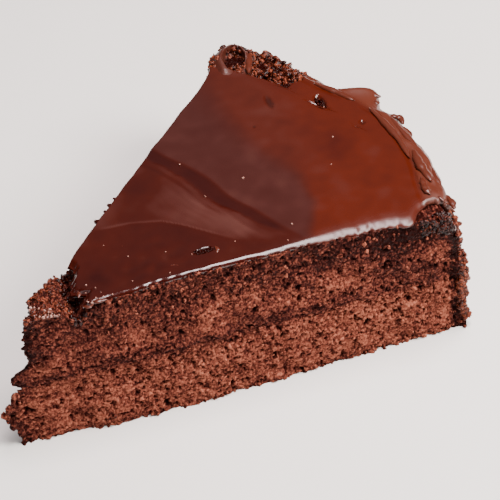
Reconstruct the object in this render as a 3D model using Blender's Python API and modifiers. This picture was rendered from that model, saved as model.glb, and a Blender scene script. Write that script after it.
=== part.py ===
"""A slice of glazed chocolate torte: two sponge layers, the filling between them and the glaze."""

import math

import bmesh
import bpy
from mathutils import Vector, noise

MM = 0.001

# The slice in plan. Distances along a cut are measured from the point where the two cuts meet.
CUT_ANGLE = math.radians(47.5)
MEET_X = -63.5 * MM
MEET_Y = -1.9 * MM
TIP_FRONT = 5.0 * MM
TIP_REAR = 8.3 * MM
RIM_FRONT = 120.3 * MM
RIM_WIDENING = 8.2 * MM
RIM_HOLLOW = 1.8 * MM
RIM_FLAT = 1.3 * MM
RIM_REAR_SWELL = 1.2 * MM

# Heights of the layers
LOWER_TOP = 18.9 * MM
FILLING_BOTTOM = 19.2 * MM
FILLING_TOP = 20.2 * MM
UPPER_BOTTOM = 20.5 * MM
TOP_HEIGHT = 40.9 * MM
DOME = 1.9 * MM
DOME_CENTRE = 62.0 * MM
DOME_REACH = 60.0 * MM
TOP_WAVE = 0.45 * MM
TOP_WAVE_LENGTH = 30.0 * MM

# The glaze
GLAZE = 1.9 * MM
GLAZE_GAP = 0.45 * MM
SHOULDER = 5.0 * MM
GLAZE_FOOT = 3.4 * MM
GLAZE_START = 18.5 * MM
RIM_LUMP = 1.1 * MM
RIM_LUMP_LENGTH = 8.0 * MM

# Where the glaze's shoulder has broken away, the crumb stands up to its outer face
CORNER_BREAK = math.radians(11.5)
FRONT_CORNER_BREAK = math.radians(1.6)
BREAK_INSET = 7.0 * MM
BREAK_FOOT = 30.0 * MM
BREAK_GAP = 2.0 * MM
BREAK_RISE = 2.9 * MM
BREAK_SWELL = 1.2 * MM
CORNER_BULGE = 2.6 * MM

# Hollows in the glaze: place in plan, width and depth
DENTS = (
    (88.0 * MM, 66.0 * MM, 4.0 * MM, 0.9 * MM),
    (102.3 * MM, 58.4 * MM, 2.5 * MM, 1.0 * MM),
    (55.8 * MM, 10.0 * MM, 4.0 * MM, 0.5 * MM),
)

# The blob that stands out of the rim
NOSE_TURN = 26.2
NOSE_WIDTH = 1.5
NOSE_REACH = 4.5 * MM

# The cut faces: out at the foot, in at the top, and rough all over
FOOT_LEAN = 2.0 * MM
TOP_LEAN = 1.5 * MM
LEAN_START = 30.0 * MM
LEAN_MIDDLE = 45.0 * MM
LEAN_END = 115.0 * MM
CRAG = 1.1 * MM
CRAG_LENGTH = 6.0 * MM
FOOT_FLARE = 1.8 * MM
FOOT_FLARE_HEIGHT = 9.0 * MM
FILLING_RECESS = 0.6 * MM

# The broken tip: the lower sponge juts out past the upper one
TIP_REACH = 9.0 * MM
TIP_JUT_UPPER = 2.2 * MM
TIP_JUT_LOWER = 7.4 * MM
TIP_LEDGE = 24.0 * MM
TIP_CHUNK = 3.4 * MM
TIP_CHUNK_HEIGHT = 9.5 * MM
TIP_BULGE = 2.6 * MM
TIP_CRAG = 1.6 * MM
STUB_RISE = 1.8 * MM

# Cells along, across and up each block
SPONGE_CELLS = (44, 10, 6)
FILLING_CELLS = (30, 10, 1)
GLAZE_CELLS = (40, 16)
TOP_SHARE = 0.66
SHOULDER_SHARE = 0.84
RIM_CROWDING = 1.25
WALL_SHARE = 0.93

# One noise field for each uneven surface
FRONT_SEED = 1.3
REAR_SEED = 5.9
TIP_SEED = 8.1
LUMP_SEED = 2.2
WAVE_SEED = 3.7


def smooth(value, start, end):
    """Rises gently from 0 at start to 1 at end."""
    share = min(max((value - start) / (end - start), 0.0), 1.0)
    return share * share * (3.0 - 2.0 * share)


def hump(value, centre, width):
    """A rounded hump of height 1."""
    return math.exp(-(((value - centre) / width) ** 2))


def wander(along, up, length, seed):
    """Smooth unevenness from -1 to 1."""
    return noise.noise(Vector((along / length, up / length, seed)))


def mix(first, second, share):
    return first + (second - first) * share


def rim_radius(angle):
    """The foot of the wall under the glaze's edge: it widens towards the rear cut."""
    turn = math.degrees(angle)
    radius = RIM_FRONT + RIM_WIDENING * smooth(turn, 0.0, 21.0)
    radius -= RIM_HOLLOW * hump(turn, 31.0, 5.0) + RIM_FLAT * hump(turn, 15.0, 5.0)
    return radius + RIM_REAR_SWELL * smooth(turn, 38.0, 46.0)


def dents(x, y):
    """Hollows in the glaze, which the crumb under it follows."""
    pressed = 0.0
    for at_x, at_y, width, depth in DENTS:
        pressed += depth * hump(math.hypot(x - at_x, y - at_y), 0.0, width)
    return pressed


def top_height(x, y):
    """The glaze's upper face: a low dome with wide waves and dents."""
    from_middle = (math.hypot(x, y) - DOME_CENTRE) / DOME_REACH
    dome = DOME * max(0.0, 1.0 - from_middle * from_middle)
    waves = TOP_WAVE * wander(x, y, TOP_WAVE_LENGTH, WAVE_SEED)
    return TOP_HEIGHT + dome + waves - dents(x, y)


def wall_flare(height):
    """How far the wall spreads at its foot."""
    return FOOT_FLARE * (1.0 - smooth(height, 2.0 * MM, FOOT_FLARE_HEIGHT))


def cut_shift(along, height, seed):
    """How far a cut face stands out from its plane."""
    share = height / TOP_HEIGHT
    lean = mix(FOOT_LEAN, -TOP_LEAN, share)
    steep = smooth(along, LEAN_MIDDLE, LEAN_END) + 1.0 - smooth(along, 0.0, LEAN_START)
    lean -= FOOT_LEAN * (1.0 - share) * steep
    crag = CRAG * wander(along, height, CRAG_LENGTH, seed)
    return lean + crag * (1.0 - 0.7 * smooth(height, TOP_HEIGHT - GLAZE, TOP_HEIGHT))


def tip_jut(height, across):
    """How far the broken tip stands out past the square end."""
    jut = mix(TIP_JUT_LOWER, TIP_JUT_UPPER, smooth(height, TIP_LEDGE, TIP_LEDGE + 3.5 * MM))
    jut += TIP_CHUNK * hump(height, TIP_CHUNK_HEIGHT, 5.0 * MM)
    jut *= 1.0 - (across - 0.35) ** 2
    return jut + TIP_CRAG * wander(across * TIP_REACH, height, 5.0 * MM, TIP_SEED)


def plan_point(along, across, rim):
    """A point of the wedge between its two cuts, along from the square tip to the rim."""
    angle = CUT_ANGLE * across
    start = mix(TIP_FRONT, TIP_REAR, across) / math.cos(angle)
    radius = mix(start, rim, along)
    return radius * math.cos(angle), radius * math.sin(angle), radius - start


def shifted(x, y, from_tip, across, height):
    """The plan point with the cuts' and the tip's unevenness."""
    distance = math.hypot(x, y)
    front = cut_shift(distance, height, FRONT_SEED) * (1.0 - across) ** 2
    rear = cut_shift(distance, height, REAR_SEED) + TIP_BULGE * hump(from_tip, 0.0, 1.3 * TIP_REACH)
    rear += CORNER_BULGE * hump(distance, RIM_FRONT, 8.0 * MM) * smooth(height, 24.0 * MM, 38.0 * MM)
    rear *= across**2
    x -= rear * math.sin(CUT_ANGLE)
    y += rear * math.cos(CUT_ANGLE) - front
    return x - tip_jut(height, across) * hump(from_tip, 0.0, TIP_REACH), y


def in_place(x, y, z):
    """From the front cut's frame to the slice's own, whose +X runs from tip to rim."""
    half = 0.5 * CUT_ANGLE
    return Vector(
        (
            MEET_X + x * math.cos(half) + y * math.sin(half),
            MEET_Y + y * math.cos(half) - x * math.sin(half),
            z,
        )
    )


def bared(angle):
    """1 where the rear corner has lost its glaze."""
    edge = CUT_ANGLE - CORNER_BREAK
    return smooth(angle, edge + math.radians(1.5), edge + math.radians(4.0))


def sponge_top(x, y, angle):
    """Where the crumb meets the glaze, with its corner rounded under the glaze's shoulder."""
    top = top_height(x, y) - GLAZE - GLAZE_GAP
    top += STUB_RISE * (1.0 - smooth(x, 9.0 * MM, 15.0 * MM))
    inner = SHOULDER - GLAZE
    from_wall = rim_radius(angle) - GLAZE - GLAZE_GAP - math.hypot(x, y)
    inset = min(max(inner - from_wall, 0.0), inner)
    rise = BREAK_RISE * (1.0 - smooth(from_wall, BREAK_INSET - 5.5 * MM, BREAK_INSET - 2.5 * MM))
    return top - inner + math.sqrt(inner * inner - inset * inset) + rise * bared(angle)


def sponge_point(along, across, up, bottom, top, recess):
    """A point of a sponge or of the filling; top is None where the glaze sets the height."""
    angle = CUT_ANGLE * across
    wall = rim_radius(angle) - GLAZE - GLAZE_GAP
    along = 1.0 - (1.0 - along) ** RIM_CROWDING
    x, y, from_tip = plan_point(along, across, wall)
    height = mix(bottom, sponge_top(x, y, angle) if top is None else top, up)
    out = wall_flare(height)
    out += BREAK_SWELL * bared(angle) * smooth(height, BREAK_FOOT + BREAK_GAP, BREAK_FOOT + 2.0 * BREAK_GAP)
    out *= smooth(along, WALL_SHARE, 1.0)
    x += out * math.cos(angle)
    y += out * math.sin(angle)
    x, y = shifted(x, y, from_tip, across, height)
    x += recess * hump(from_tip, 0.0, TIP_REACH)
    y += recess * ((1.0 - across) ** 2 - across**2)
    return in_place(x, y, height)


def rim_lumps(angle, height):
    """The glaze's uneven shoulder, with one blob that stands out."""
    lump = 0.5 + wander(RIM_FRONT * angle, height, RIM_LUMP_LENGTH, LUMP_SEED)
    blob = NOSE_REACH * hump(math.degrees(angle), NOSE_TURN, NOSE_WIDTH)
    high = smooth(height, 28.0 * MM, 36.0 * MM)
    return (RIM_LUMP * max(lump, 0.0) + blob) * high


def glaze_start(across):
    """The glaze's ragged edge behind the broken tip."""
    return mix(GLAZE_START, GLAZE_START - 1.0 * MM, across) + 1.2 * MM * math.sin(9.0 * across)


def broken_corners(along, across):
    """Draws the glaze's side edges in where its shoulder has broken away."""
    break_top = TOP_SHARE * (1.0 - (BREAK_INSET - SHOULDER) / (RIM_FRONT - GLAZE_START))
    break_foot = mix(SHOULDER_SHARE, 1.0, (TOP_HEIGHT - SHOULDER - BREAK_FOOT) / (TOP_HEIGHT - SHOULDER))
    inner_side = smooth(along, break_top - 0.02, break_top + 0.01)
    lower_side = 1.0 - smooth(along, break_foot, break_foot + 0.05)
    open_share = inner_side * lower_side
    return mix(FRONT_CORNER_BREAK * open_share, CUT_ANGLE - CORNER_BREAK * open_share, across)


def glaze_point(along, across):
    """A point of the glaze's outer face: over the top, round the shoulder and down the wall."""
    angle = broken_corners(along, across)
    wall = rim_radius(angle)
    crest = wall - SHOULDER
    if along < TOP_SHARE:
        start = glaze_start(across) / math.cos(angle)
        radius = mix(start, crest, along / TOP_SHARE)
        rise = 0.0
    elif along < SHOULDER_SHARE:
        bend = 0.5 * math.pi * (along - TOP_SHARE) / (SHOULDER_SHARE - TOP_SHARE)
        radius = crest + SHOULDER * math.sin(bend)
        rise = SHOULDER * (math.cos(bend) - 1.0)
    else:
        radius = wall
        rise = -SHOULDER
    x = radius * math.cos(angle)
    y = radius * math.sin(angle)
    height = top_height(x, y) + rise
    if along >= SHOULDER_SHARE:
        height = mix(height, GLAZE_FOOT, (along - SHOULDER_SHARE) / (1.0 - SHOULDER_SHARE))
    out = wall_flare(height) * smooth(along, SHOULDER_SHARE, 1.0)
    out += rim_lumps(angle, height) * smooth(radius, crest, wall)
    x += out * math.cos(angle)
    y += out * math.sin(angle)
    x, y = shifted(x, y, radius - mix(TIP_FRONT, TIP_REAR, across), across, height)
    return in_place(x, y, height)


def material(name, colour, roughness):
    surface = bpy.data.materials.new(name)
    surface.use_nodes = True
    shader = surface.node_tree.nodes["Principled BSDF"]
    shader.inputs["Base Color"].default_value = (*colour, 1.0)
    shader.inputs["Roughness"].default_value = roughness
    shader.inputs["Metallic"].default_value = 0.0
    surface.diffuse_color = (*colour, 1.0)
    return surface


def object_from(mesh, name, surface, collection):
    data = bpy.data.meshes.new(name)
    mesh.to_mesh(data)
    mesh.free()
    data.materials.append(surface)
    piece = bpy.data.objects.new(name, data)
    collection.objects.link(piece)
    return piece


def layer(name, cells, place, surface, collection):
    """A grid sheet raised row by row into a closed block, with every point then put in its place."""
    along_cells, across_cells, rows = cells
    mesh = bmesh.new()
    bmesh.ops.create_grid(mesh, x_segments=along_cells, y_segments=across_cells, size=0.5)
    cap = mesh.faces[:]
    for row in range(rows):
        raised = bmesh.ops.extrude_face_region(mesh, geom=cap)["geom"]
        if row > 0:
            bmesh.ops.delete(mesh, geom=cap, context="FACES")
        cap = [item for item in raised if isinstance(item, bmesh.types.BMFace)]
        corners = [item for item in raised if isinstance(item, bmesh.types.BMVert)]
        bmesh.ops.translate(mesh, vec=(0.0, 0.0, 1.0 / rows), verts=corners)
    for corner in mesh.verts:
        corner.co = place(corner.co.x + 0.5, corner.co.y + 0.5, corner.co.z)
    bmesh.ops.triangulate(mesh, faces=mesh.faces[:])
    bmesh.ops.recalc_face_normals(mesh, faces=mesh.faces[:])
    return object_from(mesh, name, surface, collection)


def glaze_sheet(name, surface, collection):
    """The glaze's outer face as an open sheet, thickened inwards."""
    mesh = bmesh.new()
    bmesh.ops.create_grid(mesh, x_segments=GLAZE_CELLS[0], y_segments=GLAZE_CELLS[1], size=0.5)
    for corner in mesh.verts:
        corner.co = glaze_point(corner.co.x + 0.5, corner.co.y + 0.5)
    bmesh.ops.triangulate(mesh, faces=mesh.faces[:])
    piece = object_from(mesh, name, surface, collection)
    shell = piece.modifiers.new("thickness", "SOLIDIFY")
    shell.thickness = GLAZE
    shell.offset = -1.0
    return piece


def build():
    for old in list(bpy.data.objects):
        bpy.data.objects.remove(old)
    torte = bpy.data.collections.new("torte_slice")
    bpy.context.scene.collection.children.link(torte)

    lower_crumb = material("lower_crumb", (0.27, 0.085, 0.042), 0.85)
    upper_crumb = material("upper_crumb", (0.15, 0.043, 0.026), 0.85)
    jam = material("jam", (0.07, 0.015, 0.008), 0.35)
    chocolate = material("chocolate", (0.15, 0.032, 0.014), 0.18)

    layer(
        "lower_sponge",
        SPONGE_CELLS,
        lambda along, across, up: sponge_point(along, across, up, 0.0, LOWER_TOP, 0.0),
        lower_crumb,
        torte,
    )
    layer(
        "jam_filling",
        FILLING_CELLS,
        lambda along, across, up: sponge_point(
            along, across, up, FILLING_BOTTOM, FILLING_TOP, FILLING_RECESS
        ),
        jam,
        torte,
    )
    layer(
        "upper_sponge",
        SPONGE_CELLS,
        lambda along, across, up: sponge_point(along, across, up, UPPER_BOTTOM, None, 0.0),
        upper_crumb,
        torte,
    )
    glaze_sheet("chocolate_glaze", chocolate, torte)


build()
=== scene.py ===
"""The looks of a slice of glazed chocolate torte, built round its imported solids."""

import math

import bmesh
import bpy
import numpy as np
from mathutils import Matrix, Vector, noise


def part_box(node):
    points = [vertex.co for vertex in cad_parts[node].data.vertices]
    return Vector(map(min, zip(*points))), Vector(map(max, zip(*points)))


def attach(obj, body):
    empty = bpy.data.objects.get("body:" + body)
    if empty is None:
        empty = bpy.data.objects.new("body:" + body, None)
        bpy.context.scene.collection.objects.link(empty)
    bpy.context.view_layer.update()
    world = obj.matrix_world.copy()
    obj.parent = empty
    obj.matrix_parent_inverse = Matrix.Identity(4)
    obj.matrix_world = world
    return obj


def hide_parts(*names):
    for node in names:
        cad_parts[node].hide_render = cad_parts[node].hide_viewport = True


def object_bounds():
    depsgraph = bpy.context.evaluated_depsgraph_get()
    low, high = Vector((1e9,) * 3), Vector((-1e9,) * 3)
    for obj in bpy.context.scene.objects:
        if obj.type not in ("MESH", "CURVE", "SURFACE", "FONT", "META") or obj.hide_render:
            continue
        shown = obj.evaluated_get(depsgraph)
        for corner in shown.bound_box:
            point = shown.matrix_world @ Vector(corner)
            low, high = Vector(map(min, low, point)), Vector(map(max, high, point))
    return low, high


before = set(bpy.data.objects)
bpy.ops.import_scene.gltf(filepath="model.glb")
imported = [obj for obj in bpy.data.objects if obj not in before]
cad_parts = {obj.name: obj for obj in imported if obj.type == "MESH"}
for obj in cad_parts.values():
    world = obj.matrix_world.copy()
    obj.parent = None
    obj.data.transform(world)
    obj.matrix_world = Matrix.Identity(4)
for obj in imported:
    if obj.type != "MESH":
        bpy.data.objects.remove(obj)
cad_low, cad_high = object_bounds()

# Lengths are in millimetres, and mesh_piece turns them into metres
MM = 0.001
chance = np.random.default_rng(7)

# The slice in plan. Distances along a cut are measured from the point where the two cuts meet.
CUT_ANGLE = math.radians(47.5)
MEET_X = -63.5
MEET_Y = -1.9
TIP_FRONT = 5.0
TIP_REAR = 8.3
RIM_FRONT = 120.3
RIM_WIDENING = 8.2
RIM_HOLLOW = 1.8
RIM_FLAT = 1.3
RIM_REAR_SWELL = 1.2

# Heights of the layers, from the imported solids
LOWER_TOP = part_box("lower_sponge")[1][2] / MM
FILLING_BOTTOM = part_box("jam_filling")[0][2] / MM
FILLING_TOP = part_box("jam_filling")[1][2] / MM
UPPER_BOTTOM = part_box("upper_sponge")[0][2] / MM
TOP_HEIGHT = 40.9
DOME = 1.9
DOME_CENTRE = 62.0
DOME_REACH = 60.0
TOP_WAVE = 0.45
TOP_WAVE_LENGTH = 30.0

# The glaze
GLAZE = 1.9
SHOULDER = 5.0
INNER_BEND = SHOULDER - GLAZE
GLAZE_FOOT = 3.4
GLAZE_START = 18.5
CORNER_BREAK = math.radians(12.8)
FRONT_CORNER_BREAK = math.radians(2.8)
BREAK_INSET = 9.0
BREAK_FOOT = 30.0
NOSE_TURN = 26.8
NOSE_WIDTH = 1.8
NOSE_REACH = 4.8
NOSE_RISE = 1.9
KNOB_TURN = 21.6
KNOB_WIDTH = 1.6
KNOB_REACH = 1.0

# The cut faces and the broken tip
FOOT_LEAN = 2.0
TOP_LEAN = 1.5
LEAN_START = 30.0
LEAN_MIDDLE = 45.0
LEAN_END = 115.0
CRAG = 1.1
CRAG_LENGTH = 6.0
FOOT_FLARE = 1.8
FOOT_FLARE_HEIGHT = 9.0
TIP_REACH = 9.0
TIP_JUT_UPPER = 3.8
TIP_JUT_TOP = 2.4
TIP_JUT_LOWER = 7.4
TIP_LEDGE = 24.0
TIP_CHUNK = 3.6
TIP_CHUNK_HEIGHT = 11.0
TIP_CHUNK_WIDTH = 4.5
TIP_NOTCH = 3.0
TIP_NOTCH_HEIGHT = 18.6
TIP_NOTCH_WIDTH = 1.3
TIP_BULGE = 2.6
TIP_CRAG = 1.6
STUB_RISE = 1.2
STUB_FALL = 1.6
BARE_ROUGHNESS = 0.5
CREVICE_AT = 17.4
CREVICE_WIDTH = 2.2
CREVICE_DEPTH = 3.6
CORNER_BULGE = 2.6
CORNER_SWELL = 1.8
FRONT_SEED = 1.3
REAR_SEED = 5.9
TIP_SEED = 8.1
WAVE_SEED = 3.7
TIP_CLODS = ((1.1, 1.2, TIP_SEED),)
TIP_WAVE = (0.7, 2.2, 4.4)

# The camera, at the photograph's viewing angle
CAMERA_TARGET = Vector((12.6, -4.0, 20.5)) * MM
CAMERA_AZIMUTH = math.radians(-38.4)
CAMERA_ELEVATION = math.radians(41.64)
CAMERA_ROLL = math.radians(-4.59)
CAMERA_DISTANCE = 597.6 * MM
CAMERA_LENS = 158.4
CAMERA_SENSOR = 36.0
CAMERA_NEAR = 0.01


def smooth(value, start, end):
    """Rises gently from 0 at start to 1 at end."""
    share = np.clip((value - start) / (end - start), 0.0, 1.0)
    return share * share * (3.0 - 2.0 * share)


def fade(value, start, end):
    """Falls gently from 1 at start to 0 at end."""
    return 1.0 - smooth(value, start, end)


def hump(value, centre, width):
    """A rounded hump of height 1."""
    return np.exp(-(((value - centre) / width) ** 2))


def mix(first, second, share):
    return first + (second - first) * share


def oval(first, second, place, power=1):
    """1 at the middle of an oval, given by its middle and half sizes; a power steepens its sides."""
    middle, level, wide, high = place
    return np.exp(-((((first - middle) / wide) ** 2 + ((second - level) / high) ** 2) ** power))


def plan(radius, angle):
    """The place in plan at a distance and an angle from where the cuts meet."""
    return radius * np.cos(angle), radius * np.sin(angle)


def moved_out(x, y, rear, front=0.0):
    """A place in plan moved out from the rear cut, and from the front cut."""
    return x - rear * math.sin(CUT_ANGLE), y + rear * math.cos(CUT_ANGLE) - front


def wander(first, second, length, seed):
    """Smooth unevenness from -1 to 1, with bumps about as long as length."""
    first, second = np.broadcast_arrays(first, second)
    places = zip((first / length).ravel().tolist(), (second / length).ravel().tolist())
    values = [noise.noise((a, b, seed)) for a, b in places]
    return np.array(values).reshape(first.shape)


def grains(first, second, size, seed):
    """Rounded grains packed together: 1 at a grain's middle, 0 in the cracks between them."""
    first, second = np.broadcast_arrays(first, second)
    places = zip((first / size).ravel().tolist(), (second / size).ravel().tolist())
    near = [noise.voronoi((a, b, seed))[0] for a, b in places]
    values = [min(1.0, 1.6 * (distances[1] - distances[0])) for distances in near]
    return np.array(values).reshape(first.shape)


def crags(first, second, clods, wave):
    """Torn crumb: packed clods on a softer wave, each given by its height, size and seed."""
    high, size, seed = wave
    rough = high * wander(first, second, size, seed)
    for high, size, seed in clods:
        rough = rough + high * (grains(first, second, size, seed) - 0.5)
    return rough


def rim_radius(angle):
    """The glaze's wall: it widens towards the rear cut."""
    turn = np.degrees(angle)
    radius = RIM_FRONT + RIM_WIDENING * smooth(turn, 0.0, 21.0)
    radius = radius - RIM_HOLLOW * hump(turn, 31.0, 5.0) - RIM_FLAT * hump(turn, 15.0, 5.0)
    return radius + RIM_REAR_SWELL * smooth(turn, 38.0, 46.0)


def top_height(x, y):
    """The glaze's upper face: a low dome with wide waves."""
    from_middle = (np.hypot(x, y) - DOME_CENTRE) / DOME_REACH
    dome = DOME * np.maximum(0.0, 1.0 - from_middle * from_middle)
    return TOP_HEIGHT + dome + TOP_WAVE * wander(x, y, TOP_WAVE_LENGTH, WAVE_SEED)


def wall_flare(height):
    """How far the wall spreads at its foot."""
    return FOOT_FLARE * fade(height, 2.0, FOOT_FLARE_HEIGHT)


def corner_swell(angle, height):
    """How far the wall stands out beside the front cut."""
    beside = fade(np.degrees(angle), 1.5, 8.0)
    return CORNER_SWELL * beside * fade(height, 31.0, 37.0)


def cut_shift(along, height, seed):
    """How far a cut face stands out from its plane, with its large crags."""
    share = height / TOP_HEIGHT
    lean = mix(FOOT_LEAN, -TOP_LEAN, share)
    steep = smooth(along, LEAN_MIDDLE, LEAN_END) + fade(along, 0.0, LEAN_START)
    lean = lean - FOOT_LEAN * (1.0 - share) * steep
    crag = CRAG * wander(along, height, CRAG_LENGTH, seed)
    return lean + crag * (1.0 - 0.7 * smooth(height, TOP_HEIGHT - GLAZE, TOP_HEIGHT))


def tip_jut(height, across):
    """How far the broken tip stands out past the square end."""
    upper = mix(TIP_JUT_UPPER, TIP_JUT_TOP, smooth(height, TIP_LEDGE, TOP_HEIGHT))
    chunk = TIP_CHUNK * hump(height, TIP_CHUNK_HEIGHT, TIP_CHUNK_WIDTH)
    notch = TIP_NOTCH * hump(height, TIP_NOTCH_HEIGHT, TIP_NOTCH_WIDTH)
    lower = (TIP_JUT_LOWER + chunk - notch) * (1.0 - 0.6 * smooth(across, 0.15, 0.7))
    jut = mix(lower, upper * (1.0 - (across - 0.35) ** 2), smooth(height, TIP_LEDGE, TIP_LEDGE + 1.6))
    return jut + TIP_CRAG * wander(across * TIP_REACH, height, 5.0, TIP_SEED)


def in_place(x, y, z):
    """From the front cut's frame to the slice's own, whose +X runs from tip to rim."""
    half = 0.5 * CUT_ANGLE
    across = MEET_X + x * math.cos(half) + y * math.sin(half)
    return np.stack([across, MEET_Y + y * math.cos(half) - x * math.sin(half), z], -1)


def bared(angle):
    """1 where the rear corner has lost its glaze."""
    edge = CUT_ANGLE - CORNER_BREAK
    return smooth(angle, edge - math.radians(0.5), edge + math.radians(1.5))


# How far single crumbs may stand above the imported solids
CRUMB_OVER = 0.8

# The crumb's fine relief: grains, waves by height, length and seed, then raised crumbs and pores
GRAIN_HEIGHT = 0.32
GRAIN_SIZE = 0.75
FINE_WAVES = ((0.24, 2.6, 0.13), (0.18, 1.0, 0.29))
RAISED_SPACING = 3.4
RAISED_SIZES = (0.5, 0.9)
RAISED_HEIGHT = 0.5
PORE_SPACING = 0.92
PORE_SIZES = (0.27, 0.9)
PORE_DEPTH = 1.3
SIZE_SPREAD = 0.42
# How far a cut's crumb sways sideways, its grains on top and at the tip, and relief for a depth of 1
SWAY = 0.16
SWAY_LENGTH = 0.8
TOP_GRAIN_SIZE = 0.95
TIP_GRAIN_REACH = 0.8
RELIEF_UNIT = 0.5

# The lattice of a crumb block: cells along, across and up
CELL = 0.26
CELLS_ACROSS = 22
RIM_CROWDING = 1.25
# Where the foot's flare begins on the way to the rim, and how far the bared corner stands out
WALL_SHARE = 0.93
BARED_SWELL = 1.2


def carve(relief, along, height, count, sizes, depth, seed):
    """Opens round pores in a relief, or raises crumbs on it where depth is negative."""
    draw = np.random.default_rng(seed)
    nearest, farthest = along.min(axis=1), along.max(axis=1)
    for _ in range(count):
        radius = min(draw.lognormal(math.log(sizes[0]), SIZE_SPREAD), sizes[1])
        squash = draw.uniform(0.65, 1.4)
        middle = draw.uniform(nearest[0], farthest[-1])
        level = draw.uniform(height.min(), height.max())
        first = np.searchsorted(farthest, middle - 1.5 * radius)
        last = np.searchsorted(nearest, middle + 1.5 * radius)
        if last <= first:
            continue
        wide = (along[first:last] - middle) / (radius * squash)
        high = (height[first:last] - level) * squash / radius
        inside = np.clip(1.0 - wide * wide - high * high, 0.0, 1.0)
        relief[first:last] -= depth * radius * np.sqrt(inside)


def crumb_relief(along, height, seed, openness):
    """The fine relief of a cut face: grains, clumps, raised crumbs and open pores."""
    relief = GRAIN_HEIGHT * (grains(along, height, GRAIN_SIZE, seed) - 0.5)
    for high, length, extra in FINE_WAVES:
        relief += high * wander(along, height, length, seed + extra)
    area = np.ptp(along) * np.ptp(height)
    raised = int(area / RAISED_SPACING**2)
    carve(relief, along, height, raised, RAISED_SIZES, -RAISED_HEIGHT, int(seed * 100))
    pores = int(openness * area / PORE_SPACING**2)
    carve(relief, along, height, pores, PORE_SIZES, PORE_DEPTH, int(seed * 100) + 1)
    return relief


def face_relief(along, height, at, i, k, seed, openness):
    """The fine relief at the points of one cut face of a block."""
    shape = (i.max() + 1, k.max() + 1)
    along_grid, height_grid = np.zeros(shape), np.zeros(shape)
    along_grid[i[at], k[at]] = along[at]
    height_grid[i[at], k[at]] = height[at]
    along_grid = np.maximum.accumulate(along_grid, axis=0)
    return crumb_relief(along_grid, height_grid, seed, openness)[i, k]


# Paler and darker places on the front cut: distance along, height, width, height and strength
PATCHES = (
    (18.9, 27.5, 7.0, 3.0, 0.25),
    (31.9, 26.5, 5.0, 4.5, 0.85),
    (50.7, 26.0, 5.0, 4.0, 1.20),
    (53.5, 31.3, 4.0, 3.0, 0.80),
    (75.3, 25.5, 6.5, 3.2, 0.80),
    (64.5, 27.5, 6.0, 4.0, 0.25),
    (81.5, 34.0, 4.5, 2.5, -0.55),
    (88.4, 27.5, 8.0, 4.0, 1.05),
    (113.0, 29.5, 4.0, 3.0, 0.60),
    (5.5, 24.5, 4.0, 3.5, 0.50),
    (96.0, 13.5, 12.0, 5.0, 0.55),
    (61.5, 31.0, 5.0, 4.0, 0.50),
    (10.0, 23.5, 8.0, 3.0, 0.60),
    (106.0, 36.5, 11.0, 3.5, -1.5),
    (100.5, 30.0, 6.0, 4.5, -0.5),
    (113.6, 24.0, 4.0, 1.5, -0.60),
    (40.5, 18.0, 1.6, 0.8, -1.4),
    (56.0, 17.2, 1.4, 0.8, -1.2),
    (79.0, 27.5, 0.9, 0.9, -1.6),
    (72.7, 22.5, 1.0, 0.8, -1.2),
)
# The crumb's tone: how pale each layer is, where that changes, where it is moist, and the jam's line
LOWER_TONE = 0.68
UPPER_TONE = -0.22
TONE_CHANGE = (18.0, 22.5)
MOIST_FROM = (30.0, 38.5)
JAM_HEIGHT = 19.9
JAM_WIDTH = 1.6


def crumb_tone(along, height, patches):
    """How pale the crumb is: the lower layer paler, the upper one moist under the glaze."""
    blur = 1.2 * wander(along, height, 4.0, 6.6)
    level = height + blur
    tone = mix(LOWER_TONE, UPPER_TONE, smooth(level, *TONE_CHANGE))
    moist = 0.22 + 0.30 * smooth(along, 60.0, 100.0)
    tone = tone - moist * smooth(level, *MOIST_FROM)
    line = hump(height + 0.4 * blur, JAM_HEIGHT, JAM_WIDTH)
    tone = tone - (0.75 + 0.2 * wander(along, 0.0, 9.0, 1.7)) * line
    tone = tone - 0.55 * hump(height, 0.0, 1.8)
    tone = tone - 1.5 * smooth(along + 0.5 * blur, RIM_FRONT - 3.2, RIM_FRONT - 1.4)
    tone = tone + 0.45 * hump(along, RIM_FRONT - 4.6, 1.6) * fade(height, 26.0, 32.0)
    for *place, strength in patches:
        tone = tone + strength * oval(along, level, place)
    return tone + 0.13 * wander(along, height, 5.0, 9.2)


def placed(name, data):
    """An object of that data, linked to the scene."""
    item = bpy.data.objects.new(name, data)
    bpy.context.scene.collection.objects.link(item)
    return item


def mesh_piece(name, points, faces, values):
    """A mesh object with a number at each point for each name in values."""
    mesh = bpy.data.meshes.new(name)
    mesh.from_pydata((points * MM).tolist(), [], faces)
    for label, numbers in values.items():
        layer = mesh.attributes.new(label, "FLOAT", "POINT")
        layer.data.foreach_set("value", np.asarray(numbers, np.float32))
    mesh.shade_smooth()
    mesh.update()
    return placed(name, mesh)


def quads(sheet, flipped):
    """The quads of a grid of point numbers."""
    corners = [sheet[:-1, :-1], sheet[1:, :-1], sheet[1:, 1:], sheet[:-1, 1:]]
    if flipped:
        corners.reverse()
    return np.stack(corners, -1).reshape(-1, 4).tolist()


def tube_quads(sheet, flipped):
    """The quads of a grid whose last column meets its first."""
    return quads(np.concatenate([sheet, sheet[:, :1]], 1), flipped)


def block(shape):
    """The skin of a closed lattice block: where its points are in the lattice, and its faces."""
    i, j, k = np.indices(shape)
    skin = (i % (shape[0] - 1) == 0) | (j % (shape[1] - 1) == 0) | (k % (shape[2] - 1) == 0)
    number = np.full(shape, -1)
    number[skin] = np.arange(skin.sum())
    faces = quads(number[0], True) + quads(number[-1], False)
    faces += quads(number[:, 0], False) + quads(number[:, -1], True)
    faces += quads(number[:, :, 0], True) + quads(number[:, :, -1], False)
    return i[skin], j[skin], k[skin], faces


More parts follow.
